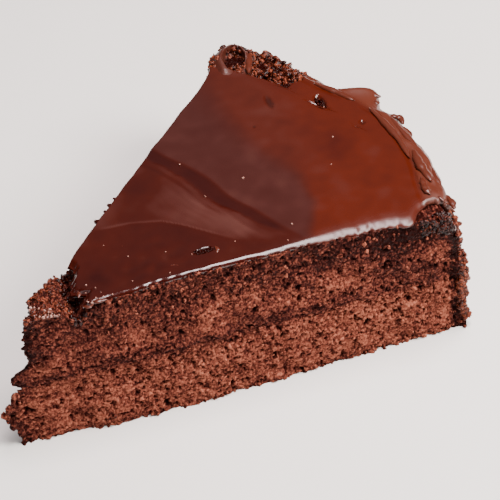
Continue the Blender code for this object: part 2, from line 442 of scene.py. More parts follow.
def layer(name, bottom, top, openness):
    """A layer of the slice as a closed block; top is None where the glaze sets the height."""
    thick = (TOP_HEIGHT - GLAZE if top is None else top) - bottom
    along = np.linspace(0.0, 1.0, int(RIM_FRONT / CELL))
    across = 0.5 - 0.5 * np.cos(np.linspace(0.0, math.pi, CELLS_ACROSS))
    up = np.linspace(0.0, 1.0, max(int(thick / CELL), 4))
    shape = (len(along), len(across), len(up))
    i, j, k, faces = block(shape)
    at_tip, at_front, at_rear, at_top = i == 0, j == 0, j == shape[1] - 1, k == shape[2] - 1
    at_cut = at_front | at_rear

    share = 1.0 - (1.0 - along[i]) ** RIM_CROWDING
    aside = across[j]
    angle = CUT_ANGLE * aside
    start = mix(TIP_FRONT, TIP_REAR, aside) / np.cos(angle)
    radius = mix(start, rim_radius(angle) - GLAZE, share)
    from_tip = radius - start
    x, y = plan(radius, angle)
    ceiling = sponge_top(x, y, angle) + at_front * front_lap(x) if top is None else top
    height = mix(bottom, ceiling, up[k])
    out = wall_flare(height) + BARED_SWELL * bared(angle) * smooth(height, BREAK_FOOT, BREAK_FOOT + 2.0)
    out = (out + corner_swell(angle, height)) * smooth(share, WALL_SHARE, 1.0)
    x, y = plan(radius + out, angle)

    x = x - tip_jut(height, aside) * hump(from_tip, 0.0, TIP_REACH)
    distance = np.hypot(np.maximum(x, 0.0), y)
    front_grain = face_relief(x, height, at_front, i, k, FRONT_SEED + bottom, openness)
    rear_grain = face_relief(x + y, height, at_rear, i, k, REAR_SEED + bottom, openness)
    front = cut_shift(distance, height, FRONT_SEED) * (1.0 - aside) ** 2
    front = front + front_grain * (1.0 - aside) ** 6
    rear = rear_shift(distance, height) + TIP_BULGE * hump(from_tip, 0.0, 1.3 * TIP_REACH)
    rear = rear * aside**2 + rear_grain * aside**6
    x, y = moved_out(x, y, rear, front)
    tip_grain = crags(y, height, TIP_CLODS, TIP_WAVE)
    x = x - tip_grain * hump(from_tip, 0.0, TIP_GRAIN_REACH)

    sway = SWAY * wander(x, height, SWAY_LENGTH, 2.9)
    x = x + np.where(at_cut, sway, 0.0)
    height = height + np.where(at_cut & (k > 0) & ~at_top, sway, 0.0)
    depth = np.where(at_front, front_grain, np.where(at_rear, rear_grain, 0.0)) / RELIEF_UNIT
    depth = np.where(at_tip, tip_grain / RELIEF_UNIT, depth)
    if top is None:
        rough = at_top & ~at_cut
        depth = np.where(rough, 2.0 * grains(x, y, TOP_GRAIN_SIZE, 3.3) - 0.9, depth)
        stub = fade(x, 15.0, 18.0)
        height = height + np.where(rough, (0.25 + 0.45 * stub) * depth, 0.0)
    with_patches, plain = [crumb_tone(distance, height, patches) for patches in (PATCHES, ())]
    tone = mix(with_patches, plain, smooth(aside, 0.3, 0.7))
    # Painted shade: the crumb is darkened towards the tip's end face, as if in shadow
    tone = tone - 1.2 * fade(from_tip, 0.2, 4.5)
    height = np.maximum(height, 0.0)
    points = in_place(x, y, height)
    piece = mesh_piece(name, points, faces, {"depth": depth, "tone": tone})
    places = {"points": points, "x": x, "y": y, "height": height}
    places.update(front=at_front, rear=at_rear, tip=at_tip, top=at_top)
    return piece, places


def rear_shift(distance, height):
    """How far the rear cut stands out from its plane."""
    bulge = CORNER_BULGE * hump(distance, RIM_FRONT, 8.0) * smooth(height, 24.0, 38.0)
    return cut_shift(distance, height, REAR_SEED) + bulge


def sponge_top(x, y, angle):
    """Where the crumb meets the glaze, or stands bare at the tip and the rear corner."""
    top = top_height(x, y) - GLAZE + 0.1
    stub = fade(x, 11.0, 15.5)
    top = top + stub * (STUB_RISE - STUB_FALL * smooth(y, 2.0, 9.0))
    top = top - CREVICE_DEPTH * hump(x, CREVICE_AT, CREVICE_WIDTH)
    from_wall = rim_radius(angle) - GLAZE - np.hypot(x, y)
    inset = np.clip(INNER_BEND - from_wall, 0.0, INNER_BEND)
    rise = 0.9 * fade(from_wall, BREAK_INSET - 3.5, BREAK_INSET - 1.0)
    return top - INNER_BEND + np.sqrt(INNER_BEND**2 - inset * inset) + rise * bared(angle)


def shown_height(x, y):
    """The height of what shows on top: the glaze, or the bared crumb by the tip."""
    bare = sponge_top(x, y, np.arctan2(y, x)) + BARE_ROUGHNESS
    return np.where(x < CREVICE_AT, bare, top_height(x, y))


# The glaze's sheet: rows from the tip over the top and down the wall, columns between the cuts
TOP_ROWS = 190
SHOULDER_ROWS = 40
WALL_ROWS = 72
GLAZE_COLUMNS = 236
EDGE_COLUMNS = 18
UNDER_COLUMNS = 14
SIDE_CROWDING = 0.35
START_DROP = 1.2
START_SHARE = 0.022
# The glaze's rounded edges: places along the front cut, and the bead's width and upper share there
REAR_EDGE_WIDTH = 0.8
EDGE_UNDERCUT = 0.7
BEAD_FLATNESS = 1.3
EDGE_PLACES = np.array([45.0, 56.0, 74.0, 82.0, 92.0, 106.0, 110.5, 113.5])
EDGE_WIDTHS = np.array([1.0, 1.1, 1.5, 2.3, 2.9, 3.4, 2.4, 1.0])
HIGH_SHARES = np.array([0.36, 0.37, 0.44, 0.54, 0.60, 0.62, 0.62, 0.64])
# The torn rear corner: distances out from the front rim, and the degrees it reaches round there
TORN_INSETS = np.array([-9.4, -8.6, -8.0, -6.9, -6.5, -5.8, 0.0])
TORN_TURNS = np.array([0.0, 3.6, 6.8, 9.2, 11.2, 12.4, 12.8])


def glaze_rows():
    """For each row: its share of the top, of the shoulder's bend and of the wall."""
    top = np.linspace(0.0, 1.0, TOP_ROWS)
    bend = np.linspace(0.0, 1.0, SHOULDER_ROWS + 1)[1:]
    wall = np.linspace(0.0, 1.0, WALL_ROWS + 1)[1:]
    top = np.concatenate([top, np.ones(SHOULDER_ROWS + WALL_ROWS)])
    bend = np.concatenate([np.zeros(TOP_ROWS), bend, np.ones(WALL_ROWS)])
    wall = np.concatenate([np.zeros(TOP_ROWS + SHOULDER_ROWS), wall])
    return top[:, None], bend[:, None], wall[:, None]


def edge_width(along):
    """How far the glaze's edge rounds over: thin near the tip, a fat bead further on."""
    uneven = 1.0 + 0.10 * wander(along, 0.0, 7.0, 3.4) + 0.09 * wander(along, 0.0, 1.7, 5.1)
    uneven = uneven + 0.15 * smooth(along, 84.0, 96.0) * wander(along, 0.0, 1.1, 9.7)
    uneven = uneven + 0.22 * fade(along, 46.0, 66.0) * wander(along, 0.0, 2.4, 4.3)
    return np.interp(along, EDGE_PLACES, EDGE_WIDTHS) * uneven


def edge_high(along):
    """How much of the glaze's thickness lies above the outermost line of its edge."""
    return np.interp(along, EDGE_PLACES, HIGH_SHARES)


def front_lap(along):
    """How far the crumb of the cut face climbs in front of the glaze."""
    ends = smooth(along, 21.0, 26.0) * fade(along, 103.0, 107.0)
    rough = 0.12 * wander(along, 0.0, 1.3, 7.9) + 0.10 * wander(along, 0.0, 4.5, 2.6)
    return ends * (GLAZE * (1.0 - edge_high(along)) + rough)


def broken(height):
    """How far open the broken corners of the glaze are at a height, from 0 to 1."""
    return smooth(height, BREAK_FOOT - 11.0, BREAK_FOOT + 5.0)


def torn_turn(low):
    """How many degrees the torn rear corner reaches round from the rear cut."""
    return np.interp(low - RIM_FRONT, TORN_INSETS, TORN_TURNS)


def glaze_sheet(across):
    """The glaze's face without its fine relief, and where on the slice each point is."""
    top, bend, wall = glaze_rows()
    low = mix(GLAZE_START, RIM_FRONT, top)
    level = mix(TOP_HEIGHT - SHOULDER, GLAZE_FOOT, wall)
    above = broken(level)
    ragged = 0.9 * wander(np.arange(len(top))[:, None] / 7.0, 0.0, 1.0, 5.5)
    rear_gap = np.radians(torn_turn(low) + ragged * smooth(torn_turn(low), 0.5, 4.0)) * above
    front_gap = FRONT_CORNER_BREAK * smooth(low, RIM_FRONT - 9.5, RIM_FRONT - 4.5)
    front_gap = front_gap * above * (1.0 + 0.25 * ragged)
    edge = edge_width(low) / low
    angle = mix(front_gap + edge, CUT_ANGLE - rear_gap - REAR_EDGE_WIDTH / low, across)

    turn = np.degrees(angle)
    crest = rim_radius(angle) - SHOULDER
    start = (GLAZE_START - across + 1.2 * np.sin(9.0 * across)) / np.cos(angle)
    start = start + 0.8 * wander(across * 14.0, 0.0, 1.0, 1.9)
    radius = mix(start, crest, top) + SHOULDER * np.sin(0.5 * math.pi * bend)
    height = top_height(*plan(radius, angle)) + SHOULDER * (np.cos(0.5 * math.pi * bend) - 1.0)
    height = height + NOSE_RISE * hump(turn, NOSE_TURN + 1.3, 2.2) * smooth(bend, 0.1, 0.6)
    height = mix(height, GLAZE_FOOT + 0.5 * wander(angle * 20.0, 0.0, 1.0, 2.4), wall)

    out = wall_flare(height) * smooth(wall, 0.0, 1.0) + corner_swell(angle, height)
    out = out + hump(turn, 13.0, 4.0) * smooth(height, 20.0, 34.0)
    nose = NOSE_REACH * hump(turn, NOSE_TURN, NOSE_WIDTH) + KNOB_REACH * hump(turn, KNOB_TURN, KNOB_WIDTH)
    out = out + nose * smooth(height, 28.0, 36.0) * smooth(radius, crest, crest + SHOULDER)
    distance = radius + out
    front = cut_shift(distance, height, FRONT_SEED) * (1.0 - across) ** 2
    rear = rear_shift(distance, height) * across**2
    x, y = moved_out(*plan(distance, angle), rear, front)
    return x, y, height, angle, radius


# Marks on the glaze, in plan: the dark streak of painted shade, the fold, and where the glaze turns warmer
# and is painted lighter as if more lit
STREAK_Y = np.array([4.0, 13.8, 24.2, 32.2, 44.0, 49.3, 56.0])
STREAK_X = np.array([78.0, 72.8, 66.4, 63.4, 57.8, 53.6, 49.5])
STREAK_WIDTHS = np.array([0.6, 2.8, 4.2, 4.4, 4.0, 3.4, 3.0])
FOLD_X = np.array([26.0, 38.0, 46.0, 50.7, 59.4, 66.0])
FOLD_Y = np.array([27.0, 25.9, 23.6, 20.0, 11.9, 6.0])
LIT_EDGE_Y = np.array([0.0, 6.0, 17.0, 29.0, 44.0, 59.0, 75.0])
LIT_EDGE_X = np.array([79.0, 81.0, 87.0, 85.0, 76.5, 73.0, 72.0])
# Darker places: middle in plan and half sizes
REAR_DARK = (44.5, 38.5, 4.5, 4.5)
TIP_DARK = (24.5, 9.5, 5.0, 5.0)
MIDDLE_DARK = (100.0, 40.0, 9.0, 9.0)
# Holes and dents: middle in plan, half sizes, depth and how dark their painted shade is
HOLES = (
    (101.5, 57.6, 1.15, 3.1, 1.8, 1.0),
    (94.9, 68.5, 1.2, 0.9, 1.4, 0.9),
    (88.2, 62.8, 0.9, 3.0, 0.35, 0.55),
    (53.0, 8.5, 2.4, 0.9, 0.60, 1.3),
    (109.4, 45.2, 0.6, 0.9, 0.40, 0.5),
    (107.6, 43.6, 0.5, 0.6, 0.30, 0.4),
    (80.8, 53.2, 0.4, 0.4, 0.20, 0.7),
)


def streak_side(x, y):
    """Distance from the dark streak, more towards the tip."""
    line = np.interp(y, STREAK_Y, STREAK_X) + 0.3 * np.sin(y / 2.6)
    return 0.88 * (line - x)


def streaks(x, y):
    """How dark the streak and its thin fellows are, from 0 to 1: painted shade over a shallow trough."""
    side = streak_side(x, y)
    wide = np.interp(y, STREAK_Y, STREAK_WIDTHS)
    frayed = side + 0.5 * wander(x, y, 2.2, 5.7)
    dark = smooth(side, -0.8, 0.5) * fade(frayed, wide - 1.1, wide + 0.5)
    thin = 0.4 * hump(side, 6.3, 0.5) * smooth(y, 18.0, 26.0)
    return (dark + thin) * smooth(y, 6.0, 12.0)


def dark_patches(x, y):
    """Darker glaze by the rear edge, near the tip and in the middle, from 0 to 1."""
    return 0.8 * oval(x, y, REAR_DARK) + oval(x, y, TIP_DARK) + 0.30 * oval(x, y, MIDDLE_DARK)


def fold_side(x, y):
    """Distance above the fold, towards the rear cut."""
    return 0.8 * (y - np.interp(x, FOLD_X, FOLD_Y))


def pale_sheen(x, y):
    """The painted pale sheen between the streak and the fold, from 0 to 1."""
    side = streak_side(x, y)
    bright = hump(side, 7.0, mix(1.8, 4.2, smooth(side, 5.0, 9.0)))
    film = 0.5 * smooth(side, 2.0, 6.0) * fade(side, 14.0, 26.0)
    ends = smooth(y, 6.0, 13.0) * fade(y, 28.0, 39.0)
    brushed = 1.0 + 0.55 * wander(side, y / 5.0, 1.5, 6.1)
    return (0.50 * bright + 0.6 * film) * brushed * ends * smooth(fold_side(x, y), -0.3, 0.8)


def fold_highlight(x, y):
    """The painted highlight along the fold's crest, from 0 to 1."""
    ends = smooth(x, 28.0, 34.0) * fade(x, 56.0, 62.0)
    return hump(fold_side(x, y), 0.2, 0.35) * ends


def ripples(x, y):
    """The glaze's ripples near the tip, from -1 to 1."""
    return hump(x, 40.0, 15.0) * hump(y, 8.0, 8.0) * wander(x, y, 3.0, 8.8)


def glaze_relief(x, y, height, angle, radius):
    """The glaze's fine relief: slow runs, the lumpy rim, holes and ripples."""
    relief = 0.10 * wander(x, y, 11.0, 1.1) + 0.03 * wander(x, y, 3.0, 2.6)
    relief -= 0.14 * streaks(x, y)
    relief += 0.30 * pale_sheen(x, y)
    fold = hump(fold_side(x, y), 0.0, 0.7) * smooth(x, 30.0, 36.0)
    relief += 0.10 * fold * fade(x, 60.0, 64.0)
    relief += 0.22 * ripples(x, y)
    band = rim_band(angle, radius) * (0.4 + 0.6 * smooth(height, 26.0, 37.0))
    band = band * (1.0 - 0.7 * hump(np.degrees(angle), NOSE_TURN, 2.2))
    arc = angle * RIM_FRONT
    outward = radius - height
    relief += band * 0.60 * wander(arc, outward, 6.0, 3.1)
    relief += band * 0.40 * wander(arc / 2.0, outward, 2.6, 7.4)
    relief += band * 0.22 * np.abs(wander(arc / 4.0, outward, 1.7, 6.2))
    relief -= 0.22 * hump(radius - rim_radius(angle) + crease_inset(angle), 0.0, 0.5)
    for *place, drop, _ in HOLES:
        relief -= drop * oval(x, y, place, 3)
    calm = hump(np.degrees(angle), NOSE_TURN, 2.6) * smooth(radius, RIM_FRONT - 4.0, RIM_FRONT + 2.0)
    return relief * (1.0 - 0.85 * calm)


def crease_inset(angle):
    """How far in from the wall the poured top meets the smeared rim."""
    return mix(8.0, 4.7, smooth(np.degrees(angle), 3.0, 28.0))


def rim_band(angle, radius):
    """1 on the smeared rim outside the crease."""
    inset = rim_radius(angle) - radius
    return fade(inset, crease_inset(angle) - 1.6, crease_inset(angle))


def stitched(first, first_at, second, second_at):
    """Triangles between two rows of points, taken in the order of their places."""
    a = b = 0
    faces = []
    while a < len(first) - 1 or b < len(second) - 1:
        if b == len(second) - 1 or (a < len(first) - 1 and first_at[a + 1] <= second_at[b + 1]):
            faces.append((first[a], first[a + 1], second[b]))
            a += 1
        else:
            faces.append((first[a], second[b + 1], second[b]))
            b += 1
    return faces


def rounded_edge(base, face, normal, x, at_front):
    """The glaze's edge along a cut: a bead over an undercut at the front, and plain at the rear."""
    column, towards = (0, 1) if at_front else (-1, -2)
    out = base[:, column] - base[:, towards]
    out /= np.linalg.norm(out, axis=-1, keepdims=True)
    upward = normal[:, column]
    lift = (face - base)[:, column]
    wide = edge_width(x[:, :1]) if at_front else REAR_EDGE_WIDTH
    high = edge_high(x[:, :1]) if at_front else 0.5
    middle = base[:, column] - high * GLAZE * upward
    edge = []
    for turn in np.linspace(-0.5 * math.pi, 0.5 * math.pi, EDGE_COLUMNS + 1)[:-1]:
        if turn < 0.0 or not at_front:
            reach = wide - EDGE_UNDERCUT * (1.0 - math.cos(turn))
            rise = math.sin(turn)
        else:
            reach = wide * math.cos(turn) ** BEAD_FLATNESS
            rise = math.sin(turn) ** BEAD_FLATNESS
        part = high if rise > 0.0 else 1.0 - high
        edge.append(middle + out * reach + upward * part * GLAZE * rise + lift * (0.5 + 0.5 * rise))
    return np.stack(edge, 1)


def shell_faces(rows, around, across, kept):
    """The faces of the glaze's shell: those round it, and those that close its first and last row."""
    number = np.arange(rows * around).reshape(rows, around)
    faces = tube_quads(number, False)
    outer = GLAZE_COLUMNS + 2 * EDGE_COLUMNS
    places = np.concatenate([np.zeros(EDGE_COLUMNS), across, np.ones(EDGE_COLUMNS)])
    under_places = np.concatenate([[0.0], across[kept], [1.0]])
    for row, flipped in ((0, True), (rows - 1, False)):
        over = number[row, :outer].tolist()
        below = [over[0]] + number[row, outer:][::-1].tolist() + [over[-1]]
        strip = stitched(over, places, below, under_places)
        strip = [corners for corners in strip if len(set(corners)) == 3]
        faces += [corners[::-1] for corners in strip] if flipped else strip
    return faces


def round_shell(values, kept):
    """The values of the glaze's face, carried on round the edges and beneath."""
    first = np.repeat(values[:, :1], EDGE_COLUMNS, 1)
    last = np.repeat(values[:, -1:], EDGE_COLUMNS, 1)
    return np.concatenate([first, values, last, values[:, kept][:, ::-1]], 1).ravel()


def glaze_values(x, y, height, angle, radius):
    """What the glaze's material reads at each point of its face."""
    # Painted light: the glaze is painted warmer and lighter right of this edge, as if more lit, and darker
    # to its left
    side = x - np.interp(y, LIT_EDGE_Y, LIT_EDGE_X) + 2.0 * wander(x, y, 16.0, 4.8)
    blur = mix(2.5, 7.0, smooth(y, 15.0, 55.0))
    lit_warmth = smooth(side / blur, -1.0, 1.0)
    # Painted reflection: a cool sheen left of the streak, and a fainter one on the warm side's upper left
    cool_sheen = (1.0 - lit_warmth) * smooth(-streak_side(x, y), 0.1, 1.4)
    cool_sheen = cool_sheen + 0.42 * lit_warmth * fade(x, 84.0, 102.0) * smooth(y, 15.0, 40.0)
    below = fade(fold_side(x, y), -0.6, 0.3) * hump(x, 46.0, 16.0)
    # Painted reflection: a pale greyish sheen along the rear edge
    rear_sheen = hump(y / np.maximum(x, 1.0), 1.02, 0.17) * hump(x, 33.0, 11.0)
    # Positive shade paints shade and negative paints sheen: the streak's painted shade, the pale sheen,
    # darker glaze below the fold, the rear sheen
    shade = streaks(x, y) - pale_sheen(x, y) + 0.35 * below - 0.45 * rear_sheen
    # Painted reflection: the ripples lighten and darken the glaze's colour as glints
    shade = shade + 0.8 * ripples(x, y) - 0.6 * fold_highlight(x, y) + dark_patches(x, y)
    shade = shade + 0.34 * (wander(x, y, 8.0, 2.2) + 0.6 * wander(x, y, 3.4, 6.9))
    edge = fade((angle - angle[:, :1]) * radius, 0.0, 3.5)
    return {
        "lit_warmth": lit_warmth,
        "cool_sheen": cool_sheen,
        "shade": shade,
        "band": rim_band(angle, radius) * smooth(height, 24.0, 36.0),
        "hole_shade": hole_shades(x, y),
        "edge": edge * smooth(x, 60.0, 90.0),
        "wall": fade(height, 30.0, 37.0),
    }


def glaze():
    """The glaze as a closed shell: its relief on top, rounded edges at the cuts, plain beneath."""
    even = np.linspace(0.0, 1.0, GLAZE_COLUMNS)
    across = mix(even, 0.5 - 0.5 * np.cos(math.pi * even), SIDE_CROWDING)
    sheet = glaze_sheet(across[None, :])
    base = np.stack(sheet[:3], -1)
    normal = np.cross(np.gradient(base, axis=0), np.gradient(base, axis=1))
    normal /= np.linalg.norm(normal, axis=-1, keepdims=True)
    sunk = START_DROP * fade(glaze_rows()[0], 0.0, START_SHARE)
    face = base + normal * (glaze_relief(*sheet) - sunk)[..., None]
    under = base - normal * GLAZE
    front, rear = [rounded_edge(base, face, normal, sheet[0], at_front) for at_front in (True, False)]
    kept = np.linspace(0, GLAZE_COLUMNS - 1, UNDER_COLUMNS + 2).astype(int)[1:-1]
    ring = np.concatenate([front, face, rear[:, ::-1], under[:, kept][:, ::-1]], 1)
    faces = shell_faces(*ring.shape[:2], across, kept)
    values = {label: round_shell(numbers, kept) for label, numbers in glaze_values(*sheet).items()}
    points = in_place(*np.moveaxis(ring, -1, 0))
    wall_edge = points[TOP_ROWS + SHOULDER_ROWS:, :EDGE_COLUMNS]
    return mesh_piece("glaze_skin", points.reshape(-1, 3), faces, values), wall_edge.reshape(-1, 3)


def hole_shades(x, y):
    """How dark the painted shade in the holes and dents is."""
    total = np.zeros_like(x)
    for *place, _, dark in HOLES:
        total = np.maximum(total, dark * oval(x, y, place, 2))
    return total


class Nodes:
    """A material's nodes, made and linked by short calls."""

    def __init__(self, name):
        self.material = bpy.data.materials.new(name)
        self.material.use_nodes = True
        self.tree = self.material.node_tree
        self.shader = self.tree.nodes["Principled BSDF"]
        self.place = self.add("ShaderNodeTexCoord").outputs["Object"]

    def add(self, kind, **settings):
        node = self.tree.nodes.new(kind)
        for key, value in settings.items():
            setattr(node, key, value)
        return node

    def link(self, source, target):
        if isinstance(source, (int, float, tuple)):
            target.default_value = source
        else:
            self.tree.links.new(source, target)

    def noise(self, size, detail=2.0, roughness=0.5, place=None):
        """A noise from about 0 to 1, with features of that size in millimetres."""
        node = self.add("ShaderNodeTexNoise")
        self.link(place or self.place, node.inputs["Vector"])
        node.inputs["Scale"].default_value = 1.0 / (size * MM)
        node.inputs["Detail"].default_value = detail
        node.inputs["Roughness"].default_value = roughness
        return node.outputs["Fac"]

    def maths(self, operation, first, second=0.0, clamp=False):
        node = self.add("ShaderNodeMath", operation=operation, use_clamp=clamp)
        self.link(first, node.inputs[0])
        self.link(second, node.inputs[1])
        return node.outputs[0]

    def around(self, value, middle, gain):
        """(value - middle) times gain."""
        return self.maths("MULTIPLY", self.maths("SUBTRACT", value, middle), gain)

    def total(self, *values):
        result = values[0]
        for value in values[1:]:
            result = self.maths("ADD", result, value)
        return result

    def attribute(self, name, gain=None):
        """The number that each point of the mesh holds under that name, times a gain."""
        value = self.add("ShaderNodeAttribute", attribute_name=name).outputs["Fac"]
        return value if gain is None else self.around(value, 0.0, gain)

    def cells(self, size):
        """Packed grains of that size in millimetres: each one's own random value, and 0 to 1 outwards."""
        node = self.add("ShaderNodeTexVoronoi")
        self.link(self.place, node.inputs["Vector"])
        node.inputs["Scale"].default_value = 1.0 / (size * MM)
        split = self.add("ShaderNodeSeparateColor")
        self.link(node.outputs["Color"], split.inputs["Color"])
        return split.outputs["Red"], node.outputs["Distance"]

    def ramp(self, value, stops):
        node = self.add("ShaderNodeValToRGB")
        elements = node.color_ramp.elements
        while len(elements) < len(stops):
            elements.new(0.5)
        for element, (position, colour) in zip(elements, stops):
            element.position = position
            element.color = colour
        self.link(value, node.inputs["Fac"])
        return node.outputs["Color"]

    def blend(self, first, second, share, kind="MIX"):
        node = self.add("ShaderNodeMix", data_type="RGBA", blend_type=kind)
        self.link(share, node.inputs["Factor"])
        self.link(first, node.inputs[6])
        self.link(second, node.inputs[7])
        return node.outputs[2]

    def bump(self, height, distance, strength=1.0, normal=None):
        node = self.add("ShaderNodeBump")
        node.inputs["Distance"].default_value = distance * MM
        node.inputs["Strength"].default_value = strength
        self.link(height, node.inputs["Height"])
        if normal is not None:
            self.link(normal, node.inputs["Normal"])
        return node.outputs["Normal"]

    def surface(self, colour, roughness, normal):
        self.link(colour, self.shader.inputs["Base Color"])
        self.link(roughness, self.shader.inputs["Roughness"])
        self.link(normal, self.shader.inputs["Normal"])
        return self.material


# Colours of the crumb, from the painted shade in its pores to its palest grains
PORE_SHADE = (0.012, 0.0012, 0.0006, 1.0)
CRUMB_DARK = (0.056, 0.0120, 0.0085, 1.0)
CRUMB_MIDDLE = (0.151, 0.0388, 0.0240, 1.0)
CRUMB_PALE = (0.340, 0.108, 0.064, 1.0)
CRUMB_STOPS = ((0.12, PORE_SHADE), (0.36, CRUMB_DARK), (0.61, CRUMB_MIDDLE), (1.0, CRUMB_PALE))
WET_STOPS = (
    (0.10, (0.010, 0.0010, 0.0005, 1.0)),
    (0.45, (0.062, 0.0105, 0.0045, 1.0)),
    (0.90, (0.230, 0.052, 0.0220, 1.0)),
)


def crumb_material(name, stops, lift, dryness):
    """Open chocolate crumb: pale grains, pores and cracks painted dark as shade, and moister where its
    tone is low.
    """
    nodes = Nodes(name)
    fine = nodes.noise(0.6, 3.0, 0.62)
    coarse = nodes.noise(2.4, 2.0)
    granule, border = nodes.cells(0.7)
    # Painted shade: the cracks between grains and the low points of the relief (depth) are darker
    level = nodes.total(
        nodes.around(fine, 0.5, 1.2),
        nodes.around(coarse, 0.5, 0.36),
        nodes.around(granule, 0.5, 0.40),
        nodes.around(border, 0.45, -0.36),
        nodes.attribute("depth", 0.23),
        nodes.attribute("tone", 0.27),
        0.5 + lift,
    )
    colour = nodes.ramp(level, stops)
    wetness = nodes.around(nodes.attribute("tone"), 0.6, 0.22)
    roughness = nodes.maths("ADD", wetness, dryness, clamp=True)
    normal = nodes.bump(nodes.total(fine, nodes.around(border, 0.0, -0.5)), 0.28, 0.9)
    nodes.shader.inputs["Specular IOR Level"].default_value = 0.05 if dryness > 0.6 else 0.20
    return nodes.surface(colour, roughness, normal)


# Glaze colours: the warm one is painted light, the cool and pale ones painted sheen, the streak and hole
# ones painted shade
GLAZE_DARK = (0.0296, 0.0026, 0.0006, 1.0)
GLAZE_COOL_SHEEN = (0.0331, 0.0068, 0.0049, 1.0)
GLAZE_WARM_LIT = (0.0557, 0.0056, 0.0008, 1.0)
GLAZE_STREAK_SHADE = (0.0185, 0.0010, 0.0002, 1.0)
GLAZE_PALE_SHEEN = (0.0609, 0.0187, 0.0144, 1.0)
GLAZE_RIM = (0.0748, 0.0152, 0.0065, 1.0)
GLAZE_WALL = (0.0452, 0.0059, 0.0019, 1.0)
GLAZE_HOLE_SHADE = (0.0061, 0.0009, 0.0005, 1.0)


def glaze_material():
    """Poured chocolate glaze: glossy, paler where it is smeared; painted darker towards the tip and
    lighter to the right as if lit, with painted sheen, highlights and shade.
    """
    nodes = Nodes("glaze")
    clouds = nodes.noise(9.0, 3.0)
    fine = nodes.noise(1.6, 3.0)
    lit_warmth = nodes.total(nodes.attribute("lit_warmth"), nodes.around(clouds, 0.5, 0.8))
    colour = nodes.blend(GLAZE_DARK, GLAZE_WARM_LIT, nodes.maths("ADD", lit_warmth, 0.0, clamp=True))
    colour = nodes.blend(colour, GLAZE_COOL_SHEEN, nodes.attribute("cool_sheen"))
    shade = nodes.attribute("shade")
    colour = nodes.blend(colour, GLAZE_STREAK_SHADE, nodes.maths("MULTIPLY", shade, 0.9, clamp=True))
    colour = nodes.blend(colour, GLAZE_PALE_SHEEN, nodes.maths("MULTIPLY", shade, -0.9, clamp=True))
    band = nodes.attribute("band")
    colour = nodes.blend(colour, GLAZE_RIM, nodes.maths("MULTIPLY", band, 0.85, clamp=True))
    wall = nodes.attribute("wall")
    colour = nodes.blend(colour, GLAZE_WALL, wall)
    # Painted shade in the holes and dents
    colour = nodes.blend(colour, GLAZE_HOLE_SHADE, nodes.attribute("hole_shade"))
    dull = nodes.total(
        nodes.around(wall, 0.0, 0.10),
        nodes.attribute("edge", 0.16),
        nodes.attribute("hole_shade", 0.15),
    )
    roughness = nodes.total(nodes.around(fine, 0.5, 0.10), nodes.around(band, 0.0, 0.18), dull, 0.16)
    normal = nodes.bump(nodes.total(fine, nodes.around(clouds, 0.0, 0.5)), 0.05, 0.5)
    return nodes.surface(colour, roughness, normal)


# The floor's half size in metres, then the colours of the floor and the bubbles, whose paleness paints
# glints
FLOOR_HALF = 3.0
FLOOR_STOPS = ((0.3, (0.78, 0.76, 0.73, 1.0)), (0.7, (0.82, 0.80, 0.77, 1.0)))
BUBBLE_GLINT_STOPS = ((0.3, (0.22, 0.095, 0.070, 1.0)), (0.7, (0.38, 0.20, 0.16, 1.0)))


def floor_material():
    """Pale, matt and almost even."""
    nodes = Nodes("floor")
    cloud = nodes.noise(120.0, 3.0)
    colour = nodes.ramp(cloud, FLOOR_STOPS)
    return nodes.surface(colour, 0.7, nodes.bump(cloud, 0.2, 0.1))


def bubble_glint_material():
    """Bubbles, painted paler than the glaze round them as glints."""
    nodes = Nodes("bubble")
    speck = nodes.noise(0.3, 2.0)
    colour = nodes.ramp(speck, BUBBLE_GLINT_STOPS)
    return nodes.surface(colour, nodes.around(speck, 0.0, 0.3), nodes.bump(speck, 0.02, 0.5))


# Loose grains: how far their tones spread, and how many lie in each deep hole of the glaze
TONE_SPREAD = 0.5
PIT_CRUMBS = 48


def crumbs(name, centres, radii, tones, lumpiness=0.3):
    """Small broken grains, joined as one mesh, each turned and misshapen in its own way."""
    ball = bmesh.new()
    bmesh.ops.create_icosphere(ball, subdivisions=2, radius=1.0)
    shape = np.array([vertex.co[:] for vertex in ball.verts])
    sides = np.array([[vertex.index for vertex in face.verts] for face in ball.faces])
    ball.free()
    count = len(centres)
    stretch = chance.uniform(0.5, 1.45, (count, 1, 3))
    knobs = chance.uniform(1.0 - lumpiness, 1.0 + lumpiness, (count, len(shape), 1))
    turns = np.linalg.qr(chance.normal(size=(count, 3, 3)))[0]
    turns = turns * np.linalg.det(turns)[:, None, None]
    points = np.einsum("nij,npj->npi", turns, shape * stretch * knobs)
    points = points * radii[:, None, None] + centres[:, None, :]
    points[:, :, 2] = np.clip(points[:, :, 2], 0.0, cad_high[2] / MM + CRUMB_OVER)
    faces = sides[None] + np.arange(count)[:, None, None] * len(shape)
    depth = (knobs[:, :, 0] - 1.0) * 4.0
    values = {"depth": depth.ravel(), "tone": np.repeat(tones, len(shape))}
    return mesh_piece(name, points.reshape(-1, 3), faces.reshape(-1, 3).tolist(), values)


def picked(points, count):
    """Some of the points, drawn at random."""
    return points[chance.choice(len(points), count)]


def pit_crumbs():
    """Crumb that shows in the deep holes of the glaze, toned very dark as painted shade."""
    places = []
    for *middle, wide, deep, drop, _ in HOLES[:2] + HOLES[3:4]:
        x, y = (chance.uniform(-0.9, 0.9, (PIT_CRUMBS, 2)) * (wide, deep) + middle).T
        places.append(in_place(x, y, top_height(x, y) - 0.25 - 0.22 * drop))
    return np.concatenate(places)


